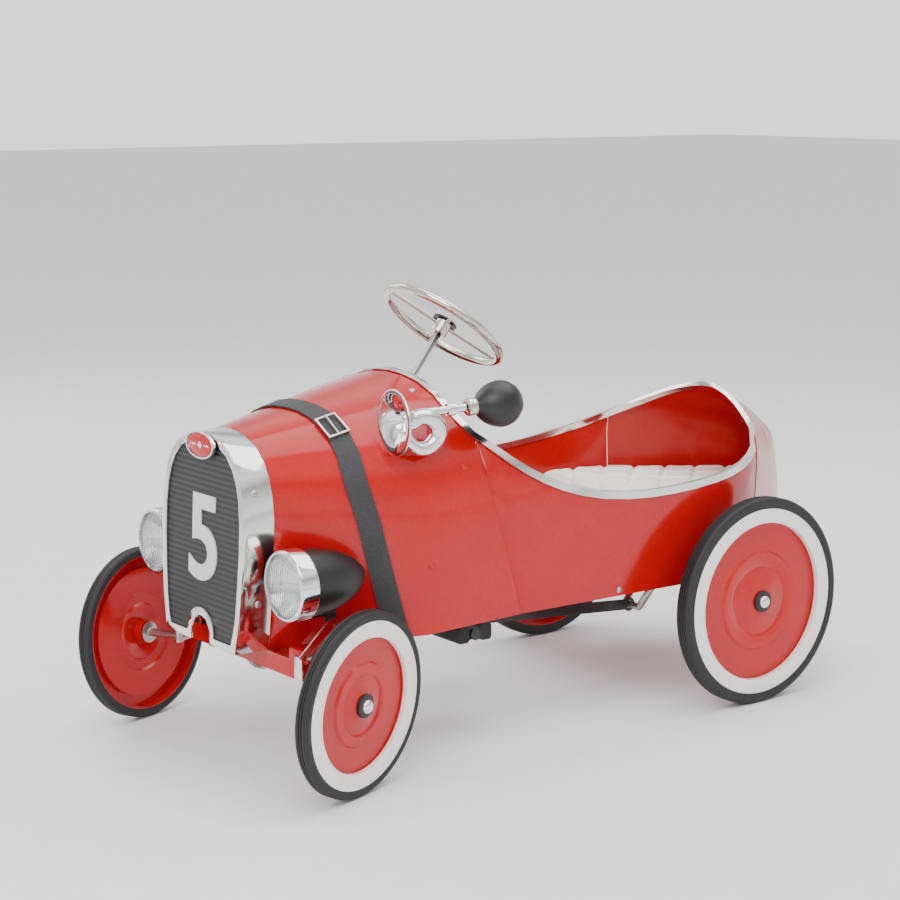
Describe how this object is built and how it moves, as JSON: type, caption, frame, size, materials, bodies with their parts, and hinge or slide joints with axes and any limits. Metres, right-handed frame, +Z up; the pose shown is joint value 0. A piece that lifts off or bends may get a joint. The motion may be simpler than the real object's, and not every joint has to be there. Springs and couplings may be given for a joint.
{
  "type": "pedal car",
  "caption": "Child's sheet-metal pedal car in 1930s racer style, with steered front wheels, cranked rear axle, swinging pedals, strapped hood, headlamps and bulb horn.",
  "frame": {"origin": "on the ground, under the middle of the whole car", "axes": "+Y to the tail, so the car faces -Y; +X is the car's left side; +Z up"},
  "size_m": [0.528, 1.0606, 0.5722],
  "materials": {
    "body_enamel": "glossy red stove enamel",
    "wheel_enamel": "glossy red and white stove enamel",
    "edge_trim": "polished folded edge strip",
    "grille_shell": "polished pressed sheet",
    "grille_mesh": "black woven mesh with a painted number",
    "badge_rim": "bright rim",
    "badge_face": "red enamel with a plain emblem",
    "cushion_cover": "cream leathercloth, diamond tufted",
    "chassis_black": "black paint",
    "zinc_plate": "bright zinc plate",
    "linkage_black": "black paint",
    "pedal_rubber": "ribbed moulded rubber",
    "tyre": "solid black rubber with grooves",
    "hub_chrome": "domed cap",
    "lamp_black": "satin black",
    "lamp_chrome": "bright rim",
    "lamp_lens": "clear fluted lens",
    "lamp_bracket": "bright plated strap",
    "horn_chrome": "bright chrome",
    "horn_nickel": "warm nickel",
    "horn_rubber": "satin black rubber",
    "strap_leather": "grained black leather",
    "buckle_nickel": "nickel wire",
    "steering_nickel": "polished nickel",
    "column_steel": "bright plated rod",
    "hub_plastic": "black cap"
  },
  "bodies": {
    "body": {"hood_and_cowl": "body_enamel", "body_side_left": "body_enamel", "body_side_right": "body_enamel", "tail_cone": "body_enamel", "cockpit_trim": "edge_trim", "grille_shell": "grille_shell", "grille_mesh": "grille_mesh", "badge_bezel": "badge_rim", "badge_plate": "badge_face", "seat_pan": "body_enamel", "seat_cushion": "cushion_cover", "chassis_rail_left": "chassis_black", "chassis_rail_right": "chassis_black", "front_axle_beam": "body_enamel", "front_hoop": "zinc_plate", "rear_bearing_left": "chassis_black", "rear_bearing_right": "chassis_black", "steering_bracket": "zinc_plate", "dash_bracket": "chassis_black", "pedal_pivot_rod": "zinc_plate", "headlamp_bracket_left": "lamp_bracket", "headlamp_bracket_right": "lamp_bracket", "horn_trumpet": "horn_chrome", "horn_ferrule": "horn_nickel", "horn_bulb": "horn_rubber", "horn_bracket": "horn_chrome", "hood_strap": "strap_leather", "strap_buckle": "buckle_nickel"},
    "rear_axle": {"rear_crank_axle": "zinc_plate", "tyre_rear_left": "tyre", "wheel_disc_rear_left": "wheel_enamel", "hub_cap_rear_left": "hub_chrome"},
    "rear_wheel_right": {"tyre_rear_right": "tyre", "wheel_disc_rear_right": "wheel_enamel", "hub_cap_rear_right": "hub_chrome"},
    "steering": {"steering_wheel": "steering_nickel", "steering_column": "column_steel", "steering_hub_cap": "hub_plastic"},
    "knuckle_left": {"stub_axle_left": "zinc_plate"},
    "knuckle_right": {"stub_axle_right": "zinc_plate"},
    "front_wheel_left": {"tyre_front_left": "tyre", "wheel_disc_front_left": "wheel_enamel", "hub_cap_front_left": "hub_chrome"},
    "front_wheel_right": {"tyre_front_right": "tyre", "wheel_disc_front_right": "wheel_enamel", "hub_cap_front_right": "hub_chrome"},
    "tie_rod": {"tie_rod": "zinc_plate"},
    "pedal_left": {"pedal_arm_left": "linkage_black"},
    "pedal_right": {"pedal_arm_right": "linkage_black"},
    "pad_left": {"pedal_pad_left": "pedal_rubber"},
    "pad_right": {"pedal_pad_right": "pedal_rubber"},
    "push_rod_left": {"push_rod_left": "linkage_black"},
    "push_rod_right": {"push_rod_right": "linkage_black"},
    "headlamp_left": {"headlamp_shell_left": "lamp_black", "headlamp_bezel_left": "lamp_chrome", "headlamp_lens_left": "lamp_lens"},
    "headlamp_right": {"headlamp_shell_right": "lamp_black", "headlamp_bezel_right": "lamp_chrome", "headlamp_lens_right": "lamp_lens"}
  },
  "joints": [
    {"name": "rear_axle_turn", "type": "hinge", "parent": "body", "child": "rear_axle", "pos_m": [0, 0.2628, 0.14], "axis": [1, 0, 0], "continuous": true},
    {"name": "rear_wheel_right_spin", "type": "hinge", "parent": "rear_axle", "child": "rear_wheel_right", "pos_m": [-0.2239, 0.2628, 0.14], "axis": [1, 0, 0], "continuous": true},
    {"name": "push_rod_left_pivot", "type": "hinge", "parent": "rear_axle", "child": "push_rod_left", "pos_m": [0.013, 0.2228, 0.098], "axis": [1, 0, 0], "continuous": true},
    {"name": "push_rod_right_pivot", "type": "hinge", "parent": "rear_axle", "child": "push_rod_right", "pos_m": [-0.013, 0.3028, 0.182], "axis": [1, 0, 0], "continuous": true},
    {"name": "steering_turn", "type": "hinge", "parent": "body", "child": "steering", "pos_m": [0, -0.0952, 0.514], "axis": [0, 0.6293, 0.7771], "range_deg": [-43, 7]},
    {"name": "kingpin_left", "type": "hinge", "parent": "body", "child": "knuckle_left", "pos_m": [0.161, -0.4022, 0.1415], "axis": [0, 0, 1], "range_deg": [-43, 7]},
    {"name": "kingpin_right", "type": "hinge", "parent": "body", "child": "knuckle_right", "pos_m": [-0.161, -0.4022, 0.1415], "axis": [0, 0, 1], "range_deg": [-43, 7]},
    {"name": "tie_rod_pivot", "type": "hinge", "parent": "knuckle_left", "child": "tie_rod", "pos_m": [0.14547, -0.35467, 0.1159], "axis": [0, 0, 1], "range_deg": [-7, 43]},
    {"name": "front_wheel_left_spin", "type": "hinge", "parent": "knuckle_left", "child": "front_wheel_left", "pos_m": [0.161, -0.4022, 0.11676], "axis": [0.9487, 0.3101, -0.061], "continuous": true},
    {"name": "front_wheel_right_spin", "type": "hinge", "parent": "knuckle_right", "child": "front_wheel_right", "pos_m": [-0.161, -0.4022, 0.11676], "axis": [0.9487, 0.3101, 0.061], "continuous": true},
    {"name": "pedal_left_swing", "type": "hinge", "parent": "body", "child": "pedal_left", "pos_m": [0.02, -0.1092, 0.3], "axis": [1, 0, 0], "range_deg": [-6, 33.5]},
    {"name": "pedal_right_swing", "type": "hinge", "parent": "body", "child": "pedal_right", "pos_m": [-0.02, -0.1092, 0.3], "axis": [1, 0, 0], "range_deg": [-33.5, 6]},
    {"name": "pad_left_spin", "type": "hinge", "parent": "pedal_left", "child": "pad_left", "pos_m": [0.055, -0.1072, 0.12401], "axis": [1, 0, 0], "continuous": true},
    {"name": "pad_right_spin", "type": "hinge", "parent": "pedal_right", "child": "pad_right", "pos_m": [-0.055, -0.02576, 0.14504], "axis": [1, 0, 0], "continuous": true},
    {"name": "headlamp_left_tilt", "type": "hinge", "parent": "body", "child": "headlamp_left", "pos_m": [0.1534, -0.3772, 0.195], "axis": [1, 0, 0], "range_deg": [-5, 8]},
    {"name": "headlamp_right_tilt", "type": "hinge", "parent": "body", "child": "headlamp_right", "pos_m": [-0.1534, -0.3772, 0.195], "axis": [1, 0, 0], "range_deg": [-5, 8]}
  ],
  "couplings": [
    {"joint": "push_rod_left_pivot", "follows": "rear_axle_turn", "ratio": -1},
    {"joint": "push_rod_right_pivot", "follows": "rear_axle_turn", "ratio": -1},
    {"joint": "kingpin_left", "follows": "steering_turn", "ratio": 1},
    {"joint": "kingpin_right", "follows": "steering_turn", "ratio": 1},
    {"joint": "tie_rod_pivot", "follows": "steering_turn", "ratio": -1},
    {"joint": "pedal_right_swing", "follows": "pedal_left_swing", "ratio": -1}
  ]
}
